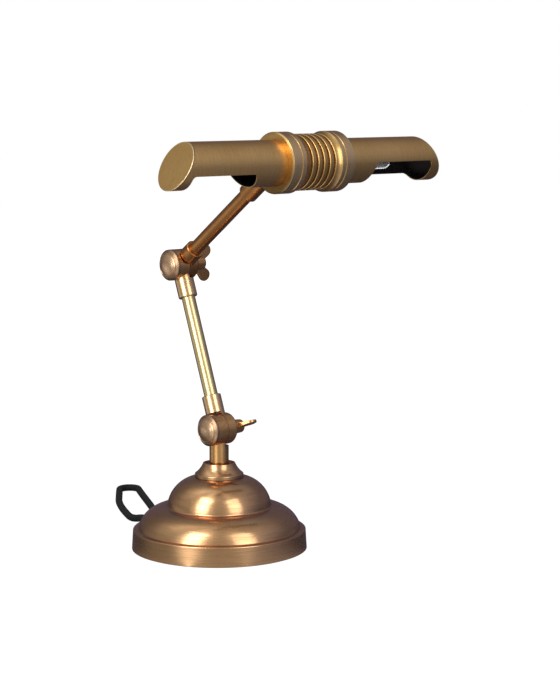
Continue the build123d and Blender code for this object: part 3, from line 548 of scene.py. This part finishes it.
def plainMaterial(name, colour, roughness, metallic, grainScale):
    material, tree, shader, coords = newMaterial(name)
    darker = [channel * (1 - grainPattern["darken"]) for channel in colour]
    grain = addNode(tree, "ShaderNodeGroup", {}, node_tree=fineGrain)
    setInputs(tree, grain, {
        "Vector": coords["Object"], "Light": (*colour, 1), "Dark": (*darker, 1), "Scale": grainScale,
        "Roughness": roughness,
    })
    height = grain.outputs["Height"]
    setInputs(tree, shader, {
        "Base Color": grain.outputs["Colour"], "Roughness": grain.outputs["Roughness"], "Metallic": metallic,
        "Normal": bumpNormal(tree, height, grainPattern["bumpStrength"], grainPattern["bumpDistance"]),
    })
    return material


# name: colour, roughness, metallic, scale of the grain, pieces
plainPieces = {
    "castIron": ((0.05, 0.05, 0.05), 0.7, 0.6, 250.0, ("base_weight",)),
    "pressedFelt": ((0.03, 0.045, 0.035), 0.95, 0.0, 1500.0, ("base_felt",)),
    "platedSteel": (
        (0.55, 0.54, 0.52), 0.32, 1.0, 400.0,
        ("base_nipple", "base_washer", "base_nut", "lower_hinge_bolt", "elbow_bolt", "holder_bracket"),
    ),
    "redFibre": (
        (0.18, 0.07, 0.05), 0.6, 0.0, 600.0, ("lower_hinge_friction_washer", "elbow_friction_washer"),
    ),
    "holderPlastic": ((0.02, 0.018, 0.016), 0.35, 0.0, 300.0, ("left_lamp_holder", "right_lamp_holder")),
    "bulbMetal": ((0.72, 0.70, 0.66), 0.3, 1.0, 300.0, ("left_bulb_cap", "right_bulb_cap")),
    "blackPlastic": (
        (0.018, 0.018, 0.018), 0.42, 0.0, 500.0,
        ("cord_gland", "switch_base", "switch_cover", "switch_rocker", "plug_body"),
    ),
    "pinMetal": ((0.70, 0.62, 0.45), 0.25, 1.0, 300.0, ("plug_pin_left", "plug_pin_right")),
}
for name, (colour, roughness, metallic, grainScale, members) in plainPieces.items():
    dress(plainMaterial(name, colour, roughness, metallic, grainScale), [nodes[member] for member in members])

bulbGlass = {"colour": (0.97, 0.98, 0.97, 1), "roughness": 0.01, "smearScale": 60.0, "smear": 0.05}


def glassMaterial():
    # clear glass with faint smears in its gloss
    material, tree, shader, coords = newMaterial("clearGlass")
    smear = noiseValue(tree, coords["Object"], bulbGlass["smearScale"])
    setInputs(tree, shader, {
        "Base Color": bulbGlass["colour"], "Transmission Weight": 1.0,
        "Roughness": calc(tree, "MULTIPLY_ADD", smear, bulbGlass["smear"], bulbGlass["roughness"]),
    })
    return material


dress(glassMaterial(), (nodes["left_bulb_glass"], nodes["right_bulb_glass"]))

braid = {
    "strands": 14.0, "dark": (0.003, 0.003, 0.0035, 1), "light": (0.024, 0.024, 0.025, 1), "gloss": 0.3,
    "fuzzScale": 900.0, "fuzzDetail": 4.0, "roughness": 0.55, "fuzzRoughness": 0.3,
    "bumpStrength": 0.7, "bumpDistance": 0.0004,
}


def textileMaterial():
    # braided cover: two sets of strands cross at 45 degrees, one over the other in turn
    material, tree, shader, coords = newMaterial("cordTextile")
    parts = separate(tree, coords["UV"])
    runTurns = calc(tree, "MULTIPLY", parts[1], braid["strands"] / (2 * math.pi * cordRadius))
    wayTurns = calc(tree, "MULTIPLY", parts[0], braid["strands"])
    waves = [
        calc(tree, "SINE", calc(tree, "MULTIPLY", calc(tree, operation, wayTurns, runTurns), 2 * math.pi))
        for operation in ("ADD", "SUBTRACT")
    ]
    weave = calc(tree, "MULTIPLY_ADD", calc(tree, "MULTIPLY", *waves), 0.5, 0.5)
    fuzz = noiseValue(tree, coords["Object"], braid["fuzzScale"], braid["fuzzDetail"])
    setInputs(tree, shader, {
        # darker where the weave dips: painted shade between the strands; the fuzz adds random tone
        "Base Color": mixColours(tree, calc(tree, "MULTIPLY", weave, fuzz), braid["dark"], braid["light"]),
        "Roughness": calc(tree, "MULTIPLY_ADD", fuzz, braid["fuzzRoughness"], braid["roughness"]),
        "Normal": bumpNormal(tree, weave, braid["bumpStrength"], braid["bumpDistance"]),
        "Specular IOR Level": braid["gloss"],
    })
    return material


dress(textileMaterial(), (firstCord, secondCord))
print("materials made")

# floor and room: white to the camera and through glass; in the metal they show dimmer
stageValues = {
    "floorSize": 6.0, "floorColour": (0.86, 0.86, 0.86, 1), "floorRoughness": 0.8,
    "floorLevel": 1.16,  # the light that makes the floor white
    "nearShare": 0.82, "farShare": 1.0, "nearReach": 0.60, "farReach": 1.6,  # its share, and where
    "room": (0.17, 0.47), "floor": (0.09, 0.45),  # levels in the metal: behind and on the bright side
    "frontAzimuth": -40.0, "frontLift": 1.2,  # where the room is bright: its azimuth, and how far overhead
    "coolSide": (0.92, 0.94, 1.35, 1), "plainSide": (1.0, 1.0, 1.0, 1),
    "warmWay": (-1.0, 0.0, 0.7), "warmSpan": (-0.6, 0.4),  # from the cool to the plain tint
    "mirrorRadius": 0.08,  # how far out on the base the floor's glows start
    "glowRadii": (0.12, 0.60), "glowHeights": (0.62, 0.90),  # near to far on the floor, low to overhead
}
# wide glows round the room, as the metal and the floor see them: middle and half width in degrees,
# room: level low in the room and overhead, floor: level near the lamp and far from it
roomGlows = {
    "leftGlow": {"azimuth": -80.0, "half": 34.0, "room": (0.90, 1.00), "floor": (1.35, 0.60)},
    "rightGlow": {"azimuth": -5.0, "half": 26.0, "room": (0.65, 0.35), "floor": (0.20, 0.20)},
    "backGlow": {"azimuth": -140.0, "half": 40.0, "room": (0.15, 0.75), "floor": (0.0, 0.60)},
}
# the two soft boxes: azimuth from the front, elevation, metres; brightness in units of white
softBoxes = {
    "leftBox": {
        "azimuth": -80.0, "elevation": 29.0, "distance": 1.6,
        "width": 0.66, "height": 1.55, "brightness": 4.4,
    },
    "rightBox": {
        "azimuth": -3.0, "elevation": 27.0, "distance": 1.6,
        "width": 0.78, "height": 1.40, "brightness": 1.9,
    },
}
boxAim = Vector((0, -0.02, 0.10))


def roomLight(tree, way, levels):
    # the plain room: level and colour, bright on the camera's side, dim behind, cool on the right
    frontWay = (*levelWay(stageValues["frontAzimuth"]), stageValues["frontLift"])
    facing = vectorCalc(tree, "DOT_PRODUCT", way, frontWay, output="Value")
    warmth = vectorCalc(tree, "DOT_PRODUCT", way, stageValues["warmWay"], output="Value")
    share = mapValue(tree, warmth, *stageValues["warmSpan"], 0.0, 1.0)
    tint = mixColours(tree, share, stageValues["coolSide"], stageValues["plainSide"])
    return mapValue(tree, facing, 0.0, 1.0, *levels), tint


def glowLevel(tree, way, glow, measure, span, levels):
    # 1 at the glow's azimuth, fading to 0 at its half width, times a level that changes over the span
    parts = separate(tree, way)
    azimuth = calc(tree, "ARCTAN2", parts[0], calc(tree, "MULTIPLY", parts[1], -1.0))
    off = calc(tree, "ABSOLUTE", calc(tree, "SUBTRACT", azimuth, math.radians(glow["azimuth"])))
    share = mapValue(tree, off, 0.0, math.radians(glow["half"]), 1.0, 0.0, curve="SMOOTHSTEP")
    return calc(tree, "MULTIPLY", share, mapValue(tree, measure, *span, *levels))


def seenPlain(tree):
    # 1 for what the camera sees itself or through glass, and the paths that tell
    paths = tree.nodes.new("ShaderNodeLightPath").outputs
    return calc(tree, "MAXIMUM", paths["Is Camera Ray"], paths["Is Transmission Ray"]), paths


def floorMaterial():
    # a pale floor that keeps the lamp's shadow, mixed with the light that the camera and the metal see
    material, tree, shader, coords = newMaterial("paleFloor")
    setInputs(tree, shader, {
        "Base Color": stageValues["floorColour"], "Roughness": stageValues["floorRoughness"],
    })
    seen, paths = seenPlain(tree)
    place = coords["Object"]
    reach = vectorCalc(tree, "LENGTH", place, output="Value")
    whiteShare = mapValue(
        tree, reach, stageValues["nearReach"], stageValues["farReach"],
        stageValues["nearShare"], stageValues["farShare"],
    )
    glowShare = calc(tree, "MAXIMUM", calc(tree, "MULTIPLY", seen, whiteShare), paths["Is Glossy Ray"])
    tone, tint = roomLight(tree, vectorCalc(tree, "NORMALIZE", place), stageValues["floor"])
    for glow in roomGlows.values():
        # the glow runs out from the place on the base that mirrors it to the camera
        mirrorX, mirrorY = levelWay((glow["azimuth"] + stageValues["frontAzimuth"]) / 2)
        start = (mirrorX * stageValues["mirrorRadius"], mirrorY * stageValues["mirrorRadius"], 0)
        away = vectorCalc(tree, "SUBTRACT", place, start)
        level = glowLevel(tree, away, glow, reach, stageValues["glowRadii"], glow["floor"])
        tone = calc(tree, "ADD", tone, level)
    whiteLevel = calc(tree, "MULTIPLY", seen, stageValues["floorLevel"])
    light = addNode(tree, "ShaderNodeEmission", {
        "Color": mixColours(tree, seen, tint, stageValues["plainSide"]),
        "Strength": calc(tree, "MULTIPLY_ADD", calc(tree, "SUBTRACT", 1.0, seen), tone, whiteLevel),
    })
    mixed = addNode(tree, "ShaderNodeMixShader", {0: glowShare, 1: shader.outputs[0], 2: light.outputs[0]})
    setInputs(tree, tree.nodes["Material Output"], {"Surface": mixed.outputs[0]})
    return material


floorHalf = stageValues["floorSize"] / 2
floorCorners = [(x * floorHalf, y * floorHalf, 0) for x, y in ((-1, -1), (1, -1), (1, 1), (-1, 1))]
floorMesh = bpy.data.meshes.new("floor")
floorMesh.from_pydata(floorCorners, [], [(0, 1, 2, 3)])
floorPiece = bpy.data.objects.new("floor", floorMesh)
scene.collection.objects.link(floorPiece)
dress(floorMaterial(), (floorPiece,))


def studioWorld():
    # the room round the lamp: white to the camera, dimmer with its glows in the metal
    world = bpy.data.worlds.new("studio")
    world.use_nodes = True
    tree = world.node_tree
    way = tree.nodes.new("ShaderNodeTexCoord").outputs["Generated"]
    height = separate(tree, way)[2]
    tone, tint = roomLight(tree, way, stageValues["room"])
    for glow in roomGlows.values():
        level = glowLevel(tree, way, glow, height, stageValues["glowHeights"], glow["room"])
        tone = calc(tree, "ADD", tone, level)
    seen = seenPlain(tree)[0]
    setInputs(tree, tree.nodes["Background"], {
        "Color": mixColours(tree, seen, tint, stageValues["plainSide"]),
        "Strength": calc(tree, "MAXIMUM", tone, seen),
    })
    return world


scene.world = studioWorld()

for name, box in softBoxes.items():
    lamp = bpy.data.lights.new(name, "AREA")
    lamp.shape = "RECTANGLE"
    lamp.size = box["width"]
    lamp.size_y = box["height"]
    lamp.energy = box["brightness"] * math.pi * box["width"] * box["height"]
    holder = bpy.data.objects.new(name, lamp)
    scene.collection.objects.link(holder)
    wayX, wayY = levelWay(box["azimuth"])
    climb = math.radians(box["elevation"])
    away = Vector((wayX * math.cos(climb), wayY * math.cos(climb), math.sin(climb)))
    holder.location = boxAim + away * box["distance"]
    holder.rotation_euler = away.to_track_quat("Z", "Y").to_euler()
print("stage set")
